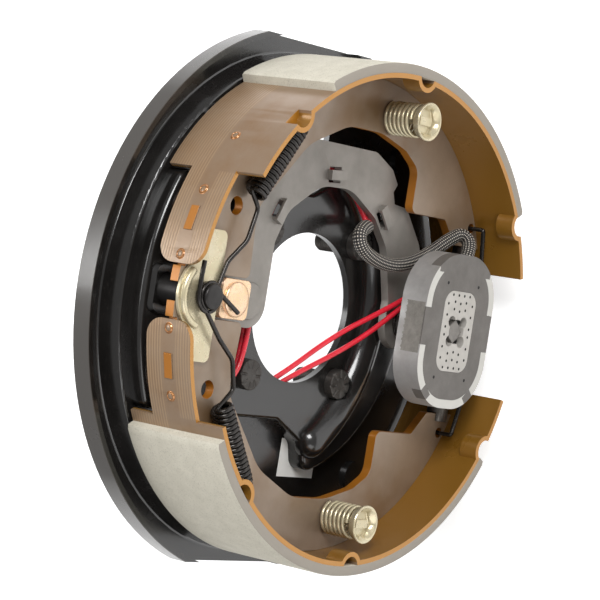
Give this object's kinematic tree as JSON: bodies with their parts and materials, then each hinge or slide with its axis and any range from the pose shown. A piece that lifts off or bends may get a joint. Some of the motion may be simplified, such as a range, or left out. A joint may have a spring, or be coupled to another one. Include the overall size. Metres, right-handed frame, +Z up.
{
  "type": "electric trailer brake assembly",
  "caption": "Electric drum brake for a trailer wheel: backing plate with mounting studs, primary and secondary shoes, actuating lever and electromagnet.",
  "frame": {"origin": "on the spindle axis, in the rear face of the mounting pad that bolts to the axle flange", "axes": "+Z up towards the anchor post, +Y along the brake axis towards the axle flange, so the drum side faces -Y, and +X to the right seen from the drum side"},
  "size_m": [0.263, 0.0734, 0.2758],
  "materials": {
    "plate_paint": "gloss black enamel",
    "black_steel": "black oxide",
    "dark_steel": "satin",
    "zinc": "yellow zinc plated",
    "shoe_varnish": "amber varnish",
    "friction_lining": "matt, fibrous",
    "lever_steel": "dull grey",
    "case_steel": "ground",
    "friction_face": "matt",
    "core_steel": "matt light grey",
    "winding": "enamelled copper wire",
    "red_insulation": "glossy",
    "sleeve_braid": "black braid with light flecks",
    "black_rubber": "matt"
  },
  "bodies": {
    "plate": {"backing_plate": "plate_paint", "mounting_stud_1": "dark_steel", "mounting_stud_2": "dark_steel", "mounting_stud_3": "dark_steel", "mounting_stud_4": "dark_steel", "anchor_post": "black_steel", "guide_plate": "zinc", "lever_pivot": "dark_steel", "wire_grommet": "black_rubber", "adjusting_slot_plug": "black_rubber", "primary_hold_down_pin": "zinc", "primary_hold_down_spring": "zinc", "primary_hold_down_cup": "zinc", "secondary_hold_down_pin": "zinc", "secondary_hold_down_spring": "zinc", "secondary_hold_down_cup": "zinc", "plate_lead_1": "red_insulation", "plate_lead_2": "red_insulation", "outlet_lead_1": "red_insulation", "outlet_lead_2": "red_insulation"},
    "secondary_shoe": {"secondary_web": "shoe_varnish", "secondary_table": "shoe_varnish", "secondary_lining": "friction_lining", "secondary_retractor_spring": "black_steel", "primary_retractor_spring": "black_steel", "adjuster_nut": "dark_steel", "adjuster_cap": "dark_steel", "adjuster_washer": "dark_steel", "adjuster_spring": "black_steel"},
    "primary_shoe": {"primary_web": "shoe_varnish", "primary_table": "shoe_varnish", "primary_lining": "friction_lining"},
    "star_wheel": {"adjuster_screw": "dark_steel"},
    "lever": {"actuating_lever": "lever_steel", "lever_block": "lever_steel", "block_rivet": "zinc", "magnet_post": "lever_steel", "magnet_spring": "black_steel", "lever_lead_1": "red_insulation", "lever_lead_2": "red_insulation", "lead_sleeve": "sleeve_braid"},
    "magnet": {"magnet_case": "case_steel", "magnet_friction_face": "friction_face", "magnet_core": "core_steel", "magnet_coil": "winding"}
  },
  "joints": [
    {"name": "shoe_swing", "type": "hinge", "parent": "plate", "child": "secondary_shoe", "pos_m": [0, -0.024, 0.104], "axis": [0, 1, 0], "range_deg": [-1, 1], "stiffness_Nm_per_rad": 60},
    {"name": "primary_swing", "type": "hinge", "parent": "secondary_shoe", "child": "primary_shoe", "pos_m": [0.047, -0.024, -0.1005], "axis": [0, 1, 0], "range_deg": [0, 1.05], "stiffness_Nm_per_rad": 40, "springref_deg": -4.58, "deforming": ["primary_retractor_spring"]},
    {"name": "lever_swing", "type": "hinge", "parent": "plate", "child": "lever", "pos_m": [0, -0.0147, 0.058], "axis": [0, 1, 0], "range_deg": [0, 5.5]},
    {"name": "magnet_slide", "type": "slide", "parent": "lever", "child": "magnet", "axis": [0, 1, 0], "range_m": [0, 0.0012], "stiffness_N_per_m": 3000, "springref_m": -0.003},
    {"name": "star_wheel_spin", "type": "hinge", "parent": "secondary_shoe", "child": "star_wheel", "pos_m": [0.021, -0.024, -0.1005], "axis": [1, 0, 0], "continuous": true}
  ],
  "couplings": [
    {"joint": "primary_swing", "follows": "lever_swing", "ratio": 0.15}
  ]
}
